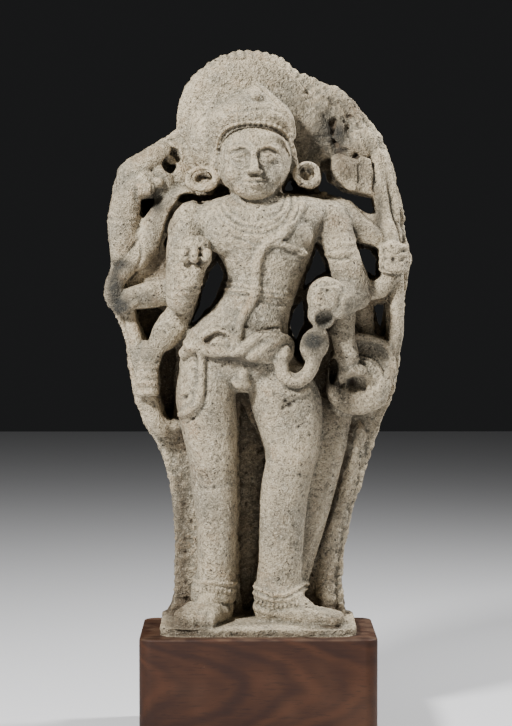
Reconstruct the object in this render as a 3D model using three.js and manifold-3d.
// A standing, many-armed guardian figure carved in high relief on a pierced stone slab,
// let into the top of a plain wooden plinth.
// Millimetres, +Z up, the figure faces -Y, origin at the middle of the plinth's underside.
import * as THREE from "three";
import { mergeVertices } from "three/addons/utils/BufferGeometryUtils.js";
import Module from "manifold-3d";

const wasm = await Module();
wasm.setup();

// Driving dimensions of the plinth
const PLINTH_WIDTH = 344;
const PLINTH_DEPTH = 216;
const PLINTH_HEIGHT = 150;
const PLINTH_CORNER = 20;
const PLINTH_EDGE = 3;

// Driving dimensions of the stone. Every height in the stone is counted from the plinth's top.
const SLAB_FRONT = 44;
const SLAB_BACK = 92;
const SLAB_CHAMFER = 7;
const BEDDED = 8;
const JOINT_GAP = 0.3;
const BED = { left: -143, right: 143, front: -84, back: SLAB_BACK, top: 14 };
const BED_FRONT_CORNER = 34;
const BED_BACK_CORNER = 12;
const HALO = { x: -15, z: 748, radius: 107, front: 36, flutes: 17, fluteDepth: 1.6 };
const HEAD = { x: -6, y: -8, z: 691, halfWidth: 54, halfDepth: 60, halfHeight: 60 };
const SECTION_POWER = 2.5;
const RELIEF_TAPER = 0.82;
const RELIEF_ROOT = SLAB_FRONT + SLAB_CHAMFER + 2;
const BODY_ROOT = 60;
const CUT_FRONT = -16;

// The slab's outline from its foot upwards, on the viewer's left and right
const LEFT_EDGE = [
  [-135, 3], [-132, 19], [-125, 45], [-123, 95], [-124, 148], [-131, 215], [-151, 268],
  [-173, 305], [-185, 350], [-197, 417], [-210, 458], [-226, 485], [-227, 508], [-217, 543],
  [-223, 590], [-217, 633], [-205, 686], [-175, 706], [-131, 731],
];
const RIGHT_EDGE = [
  [135, 3], [129, 35], [126, 80], [133, 140], [156, 218], [180, 290], [202, 346],
  [211, 395], [218, 477], [227, 547], [219, 578], [210, 641], [193, 703], [164, 752],
  [129, 793], [92, 811],
];

// The gaps pierced right through the slab between the arms and the things they hold
const PIERCED = {
  rightSide: [
    [-61, 543], [-51, 522], [-57, 499], [-70, 475], [-92, 452], [-101, 448], [-88, 480],
    [-74, 526],
  ],
  rightNeck: [[-104, 645], [-98, 640], [-104, 630], [-117, 620], [-113, 634]],
  rightWrist: [[-172, 634], [-152, 636], [-157, 623], [-166, 611]],
  rightDrum: [[-141, 691], [-128, 689], [-132, 675]],
  leftSide: [[88, 566], [97, 547], [105, 528], [90, 519], [70, 504], [72, 522], [81, 541]],
  leftWaist: [[67, 488], [71, 452], [64, 440], [57, 421], [48, 447], [56, 470]],
  leftShoulder: [
    [100, 682], [104, 661], [130, 646], [171, 637], [174, 614], [161, 613], [137, 632],
    [107, 643], [88, 648], [95, 664],
  ],
  leftEar: [[49, 667], [55, 648], [38, 646], [40, 655]],
  staffArm: [[152, 561], [168, 561], [177, 547], [179, 518], [161, 528], [153, 541]],
  staffSlot: [[175, 480], [189, 479], [188, 458], [184, 431], [180, 455]],
};

// Level sections of the body, from the bottom up: where its two sides and its front lie
const TORSO = [
  { z: 350, left: -62, right: 28, front: -20 },
  { z: 374, left: -112, right: 66, front: -49 },
  { z: 412, left: -112, right: 50, front: -59 },
  { z: 445, left: -98, right: 45, front: -60 },
  { z: 482, left: -61, right: 52, front: -54 },
  { z: 516, left: -47, right: 64, front: -55 },
  { z: 545, left: -56, right: 75, front: -61 },
  { z: 580, left: -83, right: 88, front: -61 },
  { z: 608, left: -101, right: 106, front: -50 },
  { z: 627, left: -84, right: 96, front: -38 },
  { z: 640, left: -40, right: 50, front: -30 },
];
const RIGHT_LEG = [
  { z: 44, left: -94, right: -32, front: -30 },
  { z: 86, left: -88, right: -33, front: -31 },
  { z: 150, left: -91, right: -31, front: -40 },
  { z: 215, left: -99, right: -31, front: -40 },
  { z: 244, left: -102, right: -31, front: -46 },
  { z: 305, left: -115, right: -31, front: -53 },
  { z: 345, left: -121, right: -33, front: -56 },
  { z: 392, left: -114, right: -30, front: -50 },
];
const LEFT_LEG = [
  { z: 30, left: -12, right: 72, front: -36 },
  { z: 85, left: -3, right: 65, front: -33 },
  { z: 195, left: 0, right: 74, front: -42 },
  { z: 236, left: 6, right: 83, front: -48 },
  { z: 260, left: 11, right: 89, front: -51 },
  { z: 294, left: 1, right: 94, front: -52 },
  { z: 325, left: -9, right: 94, front: -54 },
  { z: 354, left: -14, right: 89, front: -56 },
  { z: 392, left: -12, right: 66, front: -50 },
];

const vec = (x, y, z) => new THREE.Vector3(x, y, z);

// A closed three.js geometry as a solid that can be joined and cut
function solid(geometry) {
  geometry.deleteAttribute("normal");
  geometry.deleteAttribute("uv");
  const merged = mergeVertices(geometry, 1e-3);
  const corners = [...merged.index.array];
  const kept = [];
  for (let i = 0; i < corners.length; i += 3) {
    const [a, b, c] = corners.slice(i, i + 3);
    if (a !== b && b !== c && c !== a) kept.push(a, b, c);
  }
  const mesh = new wasm.Mesh({
    numProp: 3,
    vertProperties: merged.attributes.position.array,
    triVerts: new Uint32Array(kept),
  });
  return new wasm.Manifold(mesh);
}

// The mesh geometry of a finished solid
function geometryOf(body) {
  const mesh = body.getMesh();
  const geometry = new THREE.BufferGeometry();
  const positions = new THREE.BufferAttribute(mesh.vertProperties, 3);
  geometry.setAttribute("position", positions);
  geometry.setIndex(new THREE.BufferAttribute(mesh.triVerts, 1));
  geometry.computeVertexNormals();
  return geometry;
}

const joined = (solids) => solids.reduce((whole, next) => whole.add(next));

// An upright flat shape given as x and z, thickened from front to back
function slice(shape, front, back, curveSegments = 4, chamfer = 0) {
  const geometry = new THREE.ExtrudeGeometry(shape, {
    depth: back - front - 2 * chamfer,
    bevelEnabled: chamfer > 0,
    bevelThickness: chamfer,
    bevelSize: chamfer,
    bevelOffset: -chamfer,
    bevelSegments: 1,
    curveSegments,
  });
  geometry.rotateX(Math.PI / 2);
  geometry.translate(0, back - chamfer, 0);
  return solid(geometry);
}

const flat = (points) => new THREE.Shape(points.map(([x, z]) => new THREE.Vector2(x, z)));

// A rectangle in plan with its two front and two back corners rounded
function roundedPlan(left, right, front, back, frontCorner, backCorner) {
  const plan = new THREE.Shape();
  const quarter = Math.PI / 2;
  plan.moveTo(left + frontCorner, front);
  plan.absarc(right - frontCorner, front + frontCorner, frontCorner, -quarter, 0);
  plan.absarc(right - backCorner, back - backCorner, backCorner, 0, quarter);
  plan.absarc(left + backCorner, back - backCorner, backCorner, quarter, 2 * quarter);
  plan.absarc(left + frontCorner, front + frontCorner, frontCorner, 2 * quarter, 3 * quarter);
  return plan;
}

// The stone bed's plan, made wider all round by a margin
function bedPlan(margin) {
  const { left, right, front, back } = BED;
  const [frontCorner, backCorner] = [BED_FRONT_CORNER + margin, BED_BACK_CORNER + margin];
  const sides = [left - margin, right + margin, front - margin, back + margin];
  return roundedPlan(...sides, frontCorner, backCorner);
}

// An ellipsoid
function ball(centre, radii, sides = 8, rings = 6) {
  const geometry = new THREE.SphereGeometry(1, sides, rings);
  geometry.rotateX(Math.PI / 2);
  geometry.scale(...radii);
  geometry.translate(...centre);
  return solid(geometry);
}

// A round bar with domed ends that tapers from one radius to the other.
// Where it is carved in relief, its hidden half runs straight back into the slab.
function bar(start, end, startRadius, endRadius, sides = 7, inRelief = false) {
  const from = vec(...start);
  const along = vec(...end).sub(from);
  const length = along.length();
  const geometry = new THREE.CapsuleGeometry(1, length, 1, sides, 1);
  const half = length / 2;
  const turn = new THREE.Quaternion().setFromUnitVectors(vec(0, 1, 0), along.clone().normalize());
  const spots = geometry.attributes.position;
  for (let i = 0; i < spots.count; i += 1) {
    const spot = vec(0, 0, 0).fromBufferAttribute(spots, i);
    const share = THREE.MathUtils.clamp((spot.y + half) / length, 0, 1);
    const radius = THREE.MathUtils.lerp(startRadius, endRadius, share);
    const core = vec(0, share * length - half, 0);
    const out = spot.sub(core).multiplyScalar(radius).applyQuaternion(turn);
    const centre = core.applyQuaternion(turn).add(from).addScaledVector(along, 0.5);
    if (inRelief && out.y > 0.1 * radius) {
      out.multiplyScalar(RELIEF_TAPER);
      out.y = RELIEF_ROOT - centre.y;
    }
    spots.setXYZ(i, ...centre.add(out).toArray());
  }
  return solid(geometry);
}

// The stone left standing between a raised form and the slab behind it
function backing(start, end, startRadius, endRadius) {
  const [ax, ay, az] = start;
  const [bx, by, bz] = end;
  const heading = Math.atan2(bz - az, bx - ax);
  const quarter = Math.PI / 2;
  const shape = new THREE.Shape();
  shape.absarc(ax, az, startRadius * RELIEF_TAPER, heading + quarter, heading + 3 * quarter);
  shape.absarc(bx, bz, endRadius * RELIEF_TAPER, heading - quarter, heading + quarter);
  return slice(shape, (ay + by) / 2, RELIEF_ROOT, 1);
}

// An arm as bars from joint to joint, each joint given as x, y, z and radius
function limb(joints, sides = 6) {
  const pieces = [];
  for (let i = 1; i < joints.length; i += 1) {
    const [start, startRadius] = [joints[i - 1].slice(0, 3), joints[i - 1][3]];
    const [end, endRadius] = [joints[i].slice(0, 3), joints[i][3]];
    pieces.push(bar(start, end, startRadius, endRadius, sides, true));
  }
  return joined(pieces);
}

// A round cord along a smooth curve
function cord(points, radius, steps, sides = 5) {
  const path = new THREE.CatmullRomCurve3(points.map((point) => vec(...point)));
  const section = [];
  for (let side = 0; side < sides; side += 1) {
    const angle = (2 * Math.PI * side) / sides;
    section.push(new THREE.Vector2(radius * Math.cos(angle), radius * Math.sin(angle)));
  }
  const shape = new THREE.Shape(section);
  return solid(new THREE.ExtrudeGeometry(shape, { steps, extrudePath: path, bevelEnabled: false }));
}

// A round-edged ring
function ring(centre, radius, thickness, turn = [0, 0, 0], stretch = [1, 1, 1]) {
  const geometry = new THREE.TorusGeometry(radius, thickness, 4, 9);
  geometry.rotateX(Math.PI / 2);
  geometry.scale(...stretch);
  geometry.rotateX(turn[0]);
  geometry.rotateY(turn[1]);
  geometry.rotateZ(turn[2]);
  geometry.translate(...centre);
  return solid(geometry);
}

const rounded = (share) => Math.sign(share) * Math.abs(share) ** (2 / SECTION_POWER);

// A solid through level sections, each a rounded rectangle whose back is sunk in the slab
function loft(sections, sides = 12) {
  const gaps = sections.length - 1;
  const geometry = new THREE.CylinderGeometry(1, 1, gaps, sides, gaps);
  const spots = geometry.attributes.position;
  for (let i = 0; i < spots.count; i += 1) {
    const section = sections[Math.round(spots.getY(i) + gaps / 2)];
    const across = (1 + rounded(spots.getX(i))) / 2;
    const forward = (1 + rounded(spots.getZ(i))) / 2;
    const x = THREE.MathUtils.lerp(section.left, section.right, across);
    const y = THREE.MathUtils.lerp(section.back ?? BODY_ROOT, section.front, forward);
    spots.setXYZ(i, x, y, section.z);
  }
  return solid(geometry);
}

// The section of a loft at any height
function sectionAt(sections, z) {
  const above = Math.max(1, sections.findIndex((section) => section.z >= z));
  const low = sections[above - 1];
  const high = sections[above];
  const share = (z - low.z) / (high.z - low.z);
  const at = (side) => THREE.MathUtils.lerp(low[side], high[side], share);
  return { z, left: at("left"), right: at("right"), front: at("front") };
}

// How far forward a loft's surface stands at a place on its front
function surface(sections, x, z) {
  const { left, right, front } = sectionAt(sections, z);
  const across = Math.min(1, Math.abs((2 * x - left - right) / (right - left)));
  const reach = (1 - across ** SECTION_POWER) ** (1 / SECTION_POWER);
  return (front + BODY_ROOT) / 2 - (reach * (BODY_ROOT - front)) / 2;
}

// A cord that lies on a loft's front along places given as x and z
function laidCord(sections, places, radius, steps, sides = 5) {
  const lift = (x, z) => surface(sections, x, z) - 0.3 * radius;
  const points = places.map(([x, z]) => [x, lift(x, z), z]);
  return cord(points, radius, steps, sides);
}

// The sections of a loft with raised bands let in, each given as height, width and relief
function banded(sections, bands) {
  const levels = bands.flatMap(([z, width, relief]) => {
    return [-0.5, 0, 0.5].map((step) => {
      const { left, right, front } = sectionAt(sections, z + step * width);
      const out = step === 0 ? relief : 0;
      return { z: z + step * width, left: left - out, right: right + out, front: front - out };
    });
  });
  return [...sections, ...levels].sort((low, high) => low.z - high.z);
}

// A closed hand: four fingers curled over the palm, one above the other, and maybe the thumb
function hand([x, y, z], size, thumb = false) {
  const levels = [];
  for (let step = 0; step <= 8; step += 1) {
    const rise = (step / 4 - 1) * size;
    const width = Math.sqrt(1.25 - (rise / size) ** 2) * size;
    const groove = step % 2 === 0 ? 0.16 * size : 0;
    const left = x - 0.85 * width + groove;
    const right = x + 0.75 * width;
    levels.push({ z: z + rise, left, right, front: y - 0.85 * width + groove, back: y + size });
  }
  const fist = loft(levels, 5);
  if (!thumb) return fist;
  const thumbRoot = [x + 0.8 * size, y - 0.3 * size, z - 0.5 * size];
  const thumbTip = [x + 0.55 * size, y - 0.8 * size, z + 0.6 * size];
  return fist.add(bar(thumbRoot, thumbTip, 0.3 * size, 0.24 * size, 4));
}

// A round solid turned about a line towards the viewer, from its front to its back
function turned(profile, sides) {
  const points = profile.map(([radius, forward]) => new THREE.Vector2(radius, -forward));
  return new THREE.LatheGeometry(points, sides);
}

// The upright slab with its uneven outline and the round head end behind the halo
function slab() {
  const crown = [];
  for (let step = 0; step <= 9; step += 1) {
    const angle = Math.PI * (1.03 - (0.78 * step) / 9);
    crown.push([HALO.x + HALO.radius * Math.cos(angle), HALO.z + HALO.radius * Math.sin(angle)]);
  }
  const outline = flat([...LEFT_EDGE, ...crown, ...RIGHT_EDGE.toReversed()]);
  return slice(outline, SLAB_FRONT, SLAB_BACK, 1, SLAB_CHAMFER);
}

// The low bed that the feet stand on, with its sunk part below the plinth's top
function bed() {
  const geometry = new THREE.ExtrudeGeometry(bedPlan(0), {
    depth: BEDDED + BED.top,
    bevelEnabled: false,
    curveSegments: 2,
  });
  geometry.translate(0, 0, -BEDDED);
  return solid(geometry);
}

// The disc behind the head, fluted like the rays of a shell
function halo() {
  const { x, z, radius, front, flutes, fluteDepth } = HALO;
  const thick = RELIEF_ROOT - front;
  const profile = [[0, thick], [radius, 0.7 * thick], [radius, 0], [0, 0]];
  const geometry = turned(profile, 2 * flutes);
  const spots = geometry.attributes.position;
  for (let i = 0; i < spots.count; i += 1) {
    if (spots.getY(i) < -1) {
      const angle = Math.atan2(spots.getZ(i), spots.getX(i));
      const reach = Math.hypot(spots.getX(i), spots.getZ(i)) / radius;
      spots.setY(i, spots.getY(i) - Math.cos(flutes * angle) * reach * fluteDepth);
    }
  }
  geometry.translate(x, front + thick, z);
  return solid(geometry);
}

// Neck, head, face, ears, hair and the pointed diadem
function head() {
  const { x, y, z, halfWidth, halfDepth, halfHeight } = HEAD;
  const face = y - halfDepth;
  const brow = z + 0.2 * halfHeight;
  const noseBase = z - 0.36 * halfHeight;
  const eyeOut = 0.4 * halfWidth;
  const pieces = [
    bar([x + 8, 6, z - 80], [x + 4, 4, z - 30], 37, 33, 8),
    ball([x, y, z], [halfWidth, halfDepth, halfHeight], 12, 8),
    bar([x, face + 9, brow], [x, face + 2, noseBase + 6], 5, 9, 5),
    ball([x, face + 10, z - 0.57 * halfHeight], [16, 7, 4], 6, 4),
    ball([x, face + 11, z - 0.68 * halfHeight], [13, 7, 5], 6, 4),
  ];
  for (const side of [-1, 1]) {
    const eye = x + side * eyeOut;
    pieces.push(ball([eye, face + 9, z + 3], [12, 7, 6], 6, 4));
    pieces.push(bar([x + side * 54, 6, z + 12], [x + side * 58, 2, z - 26], 8, 7, 5));
  }
  const crown = [
    { rise: -8, half: 50, front: -6 },
    { rise: 18, half: 60, front: -40 },
    { rise: 42, half: 60, front: -61 },
    { rise: 49, half: 63, front: -64 },
    { rise: 56, half: 57, front: -60 },
    { rise: 76, half: 43, front: -46 },
    { rise: 94, half: 23, front: -24 },
    { rise: 115, half: 4, front: 12 },
  ];
  const levels = crown.map(({ rise, half, front }) => {
    return { z: z + rise, left: x - half, right: x + half, front };
  });
  pieces.push(loft(levels, 10));
  pieces.push(ball([x + 3, -30, z + 92], [9, 8, 9], 6, 4));
  return joined(pieces);
}

// The large ring in each ear
function earrings() {
  const right = [-76, -10, 661];
  const left = [74, -8, 669];
  return joined([
    ring(right, 15.5, 5.5, [0, 0, -0.35], [1.2, 1, 0.95]),
    backing([-80, -6, 664], [-64, -6, 664], 14, 14),
    ring(left, 14.5, 5.5, [0, 0, 0.35], [1, 1, 1.1]),
    backing([70, -6, 682], [76, -6, 660], 13, 11),
  ]);
}

// The bare upper body with its necklaces, chest band and the snake worn as a sacred cord
function torso() {
  const pieces = [loft(banded(TORSO, [[498, 16, 4]]))];
  for (const drop of [0, 20]) {
    const necklace = [
      [-44 - drop / 3, 628 - drop / 2], [-30, 604 - drop], [-4, 594 - drop],
      [26, 604 - drop], [46 + drop / 3, 630 - drop / 2],
    ];
    pieces.push(laidCord(TORSO, necklace, 5, 6, 4));
  }
  const thread = [
    [62, 624], [48, 598], [34, 580], [14, 569], [0, 550], [-4, 527], [-2, 504],
    [-9, 484], [-21, 465], [-27, 446], [-33, 424],
  ];
  pieces.push(laidCord(TORSO, thread, 8.5, 9));
  pieces.push(laidCord(TORSO, [[10, 569], [32, 567], [50, 562], [60, 555]], 8, 3));
  for (const side of [-38, 42]) {
    pieces.push(ball([side, surface(TORSO, side, 578) + 4, 576], [22, 8, 18], 8, 4));
  }
  return joined(pieces);
}

// The live snake knotted round the hips, with its raised hood beside the front left hand
function snakeBelt() {
  const coil = 8;
  const lap = (x, z, proud) => [x, surface(TORSO, x, z) - proud, z];
  const waist = [
    [-108, 408], [-92, 421], [-76, 415], [-54, 410], [-30, 409], [-8, 405], [12, 403], [32, 405],
  ];
  const loop = [[-34, 431], [-48, 440], [-64, 442], [-80, 434], [-88, 421]];
  const upperStrand = [
    [-28, 411], [-15, 425], [-3, 436], [12, 439], [25, 433], [31, 424], [22, 414], [4, 407],
  ];
  const lowerStrand = [[-6, 403], [6, 416], [20, 427], [34, 432], [44, 424], [44, 411], [36, 399]];
  const rise = [
    [36, -58, 414], [31, -60, 396], [34, -61, 380], [44, -62, 369], [57, -63, 367],
    [70, -62, 375], [79, -60, 388], [83, -58, 404],
  ];
  const hood = [82, -56, 418];
  return joined([
    laidCord(TORSO, waist, coil, 7),
    laidCord(TORSO, loop, coil - 1, 4),
    cord(upperStrand.map(([x, z]) => lap(x, z, 6)), coil - 1, 7),
    cord(lowerStrand.map(([x, z]) => lap(x, z, 8)), coil - 1, 6),
    cord(rise, coil, 6),
    ball(hood, [20, 12, 27], 8, 6),
    backing([hood[0], hood[1] + 6, 408], [hood[0] + 8, hood[1] + 6, 430], 18, 18),
    backing([40, -40, 376], [66, -40, 376], 10, 10),
  ]).subtract(ball([80, -72, 420], [13, 12, 18], 8, 5));
}

// The hanging ends of the girdle on both thighs and the worn lower belly
function girdleEnds() {
  const outer = [[-82, 406], [-80, 385], [-80, 358], [-86, 337], [-98, 326]];
  const inner = [[-92, 404], [-90, 382], [-91, 364], [-101, 353], [-116, 344]];
  const leftThigh = [[27, 396], [27, 379], [33, 363], [46, 353], [64, 352]];
  return joined([
    laidCord(RIGHT_LEG, outer, 5, 6, 4),
    laidCord(RIGHT_LEG, inner, 5, 4, 4),
    laidCord(LEFT_LEG, leftThigh, 5, 5, 4),
    ball([-22, -50, 372], [8, 10, 14], 6, 4),
    ball([-22, -46, 362], [16, 10, 9], 6, 4),
  ]);
}

// Both legs, with rings at knee and ankle, and the feet
function legs() {
  return joined([
    loft(banded(RIGHT_LEG, [[56, 12, 4], [68, 12, 4]])),
    loft(banded(LEFT_LEG, [[50, 12, 4], [62, 12, 4]])),
    foot({ heel: [-63, 8], toes: [-93, -52], width: 56, ankle: 52 }),
    foot({ heel: [20, -14], toes: [104, -46], width: 50, ankle: 52 }),
  ]);
}

// A bare foot from heel to toes, given in plan
function foot({ heel, toes, width, ankle }) {
  const along = new THREE.Vector2(toes[0] - heel[0], toes[1] - heel[1]);
  const length = along.length();
  const [ax, ay] = along.clone().normalize().toArray();
  const spot = (forward, sideways, z) => {
    return [heel[0] + ax * forward - ay * sideways, heel[1] + ay * forward + ax * sideways, z];
  };
  const sole = BED.top - 2;
  const pieces = [
    bar(spot(0, 0, sole + 22), spot(0.8 * length, 0, sole + 10), 27, 20, 6),
    bar(spot(0.1 * length, 0, ankle), spot(0.7 * length, 0, sole + 18), 26, 14, 6),
  ];
  for (let toe = 0; toe < 5; toe += 1) {
    const sideways = (toe / 4 - 0.5) * (width - 12);
    const reach = length + 12 - Math.abs(toe - 1.5) * 4;
    const root = spot(0.62 * length, 0.8 * sideways, sole + 11);
    pieces.push(bar(root, spot(reach, sideways, sole + 6), 6.5, 6.5, 4));
  }
  return joined(pieces);
}

// The smooth slope of stone beside the left leg and the rough rim beyond its groove
function slope() {
  const groove = [
    { z: 20, left: 20, right: 66, front: 5 },
    { z: 171, left: 20, right: 108, front: 0 },
    { z: 253, left: 20, right: 130, front: 0 },
    { z: 330, left: 20, right: 150, front: 10 },
  ];
  const rim = [[150, 48, 290], [136, 47, 235], [118, 47, 165], [99, 47, 96], [104, 47, 12]];
  return joined([loft(groove, 8), cord(rim, 15, 4)]);
}

// The four arms on the viewer's left, with drum, snake and club
function rightArms() {
  const club = [[-190, 24, 456], [-178, 22, 419], [-160, 20, 375], [-147, 26, 323], [-133, 34, 291]];
  const snake = [
    [-166, 30, 574], [-178, 24, 560], [-192, 20, 544], [-210, 18, 521], [-216, 16, 498],
    [-209, 12, 480],
  ];
  return joined([
    limb([[-104, 2, 600, 27], [-109, -8, 488, 23]]),
    limb([[-107, -28, 481, 21], [-100, -58, 540, 23]]),
    hand([-93, -66, 557], 22, true),
    limb([[-108, 26, 632, 24], [-146, 22, 594, 20], [-184, 18, 546, 18]]),
    limb([[-190, 16, 548, 20], [-190, 10, 590, 18], [-174, 8, 630, 16]]),
    hand([-165, 0, 648], 19),
    drum([-163, 8, 690], 27, 21),
    limb([[-124, 14, 502, 17], [-188, 10, 497, 15]]),
    hand([-194, 4, 500], 18),
    cord(snake, 8, 6),
    ball([-203, 8, 480], [12, 8, 8], 6, 4),
    limb([[-108, 14, 464, 20], [-144, 10, 419, 17], [-160, 6, 392, 15]]),
    hand([-163, 0, 385], 19),
    cord(club, 10, 4),
    backing([-191, 30, 456], [-178, 30, 419], 10, 10),
    backing([-178, 30, 419], [-147, 30, 323], 10, 10),
  ]);
}

// A small waisted drum held upright
function drum([x, y, z], half, radius) {
  const hoop = 0.7 * half;
  const waist = 0.62 * radius;
  const profile = [
    [0, -half], [radius, -half], [radius, -hoop], [waist, 0], [radius, hoop], [radius, half],
    [0, half],
  ];
  const points = profile.map(([across, along]) => new THREE.Vector2(across, along));
  const geometry = new THREE.LatheGeometry(points, 7);
  geometry.rotateZ(-0.55 * Math.PI);
  geometry.rotateY(-0.6);
  geometry.translate(x, y, z);
  return solid(geometry).add(backing([x - 10, y, z - 6], [x + 10, y, z + 4], radius, radius));
}

// The four arms on the viewer's right, with the broken emblem, the staff and the round shield
function leftArms() {
  const staff = [
    [177, 26, 690], [183, 22, 655], [189, 18, 620], [196, 14, 575], [203, 14, 515],
    [203, 18, 456], [201, 24, 415],
  ];
  return joined([
    limb([[104, 2, 606, 29], [124, -4, 556, 25], [143, -10, 500, 23]]),
    limb([[142, -16, 494, 21], [116, -42, 486, 22]]),
    hand([101, -54, 484], 27, true),
    limb([[128, 24, 612, 22], [168, 22, 582, 18]]),
    limb([[172, 26, 582, 15], [184, 28, 622, 12], [176, 30, 650, 11]]),
    block([129, 22, 673], [30, 44, 42], 0.12),
    block([156, 24, 670], [20, 40, 50], 0.18),
    limb([[150, 10, 494, 17], [181, 6, 508, 15], [194, 2, 532, 14]]),
    hand([198, -4, 548], 19),
    cord(staff, 8, 5),
    backing([186, 24, 640], [203, 24, 515], 8, 8),
    backing([203, 24, 515], [201, 24, 415], 8, 8),
    backing([178, 30, 690], [186, 30, 640], 8, 8),
    limb([[118, -4, 462, 20], [127, -6, 420, 17], [138, -6, 382, 15]]),
    hand([152, -12, 370], 21),
    shield([155, 14, 368], 50, 57),
  ]);
}

// A squared stump of a broken emblem
function block([x, y, z], [width, depth, height], lean) {
  const geometry = new THREE.BoxGeometry(width, depth, height);
  geometry.rotateY(lean);
  geometry.translate(x, y, z);
  return solid(geometry);
}

// The round shield, seen from its hollow inner side, with a raised rim
function shield([x, y, z], halfWidth, halfHeight) {
  const profile = [[0, 0], [0.74, 0], [0.92, 12], [1, 10], [0.85, -34], [0, -34]];
  const geometry = turned(profile, 12);
  geometry.scale(halfWidth, 1, halfHeight);
  geometry.translate(x, y, z);
  return solid(geometry);
}

// The outer skin of a joined solid, so that no sealed pocket stays between its pieces
function filled(body) {
  const shells = body.decompose();
  return shells.reduce((largest, next) => (next.volume() > largest.volume() ? next : largest));
}

// The whole stone, cut through last at the pierced gaps
function steleSolid() {
  const stone = joined([
    slab(), bed(), halo(), slope(), legs(), torso(), head(), earrings(),
    rightArms(), leftArms(), snakeBelt(), girdleEnds(),
  ]);
  const behind = SLAB_BACK + SLAB_CHAMFER;
  const gaps = Object.values(PIERCED).map((points) => slice(flat(points), CUT_FRONT, behind));
  return filled(gaps.reduce((body, gap) => body.subtract(gap), stone));
}

// The wooden block with rounded upright corners, eased edges and a shallow housing for the stone
function plinthSolid() {
  const halfWidth = PLINTH_WIDTH / 2;
  const halfDepth = PLINTH_DEPTH / 2;
  const corners = [PLINTH_CORNER, PLINTH_CORNER];
  const plan = roundedPlan(-halfWidth, halfWidth, -halfDepth, halfDepth, ...corners);
  const geometry = new THREE.ExtrudeGeometry(plan, {
    depth: PLINTH_HEIGHT - 2 * PLINTH_EDGE,
    bevelThickness: PLINTH_EDGE,
    bevelSize: PLINTH_EDGE,
    bevelOffset: -PLINTH_EDGE,
    bevelSegments: 1,
    curveSegments: 2,
  });
  geometry.translate(0, 0, PLINTH_EDGE);
  const housing = new THREE.ExtrudeGeometry(bedPlan(JOINT_GAP), {
    depth: 2 * BEDDED,
    bevelEnabled: false,
    curveSegments: 2,
  });
  housing.translate(0, 0, PLINTH_HEIGHT - BEDDED - JOINT_GAP);
  return solid(geometry).subtract(solid(housing));
}

const stone = new THREE.MeshStandardMaterial({ color: 0xa8a394, roughness: 0.93, metalness: 0 });
const wood = new THREE.MeshStandardMaterial({ color: 0x4a2a20, roughness: 0.45, metalness: 0 });

const stele = new THREE.Mesh(geometryOf(steleSolid()), stone);
stele.name = "stele";
stele.position.z = PLINTH_HEIGHT;

const plinth = new THREE.Mesh(geometryOf(plinthSolid()), wood);
plinth.name = "plinth";

const group = new THREE.Group();
group.add(plinth, stele);

export default group;
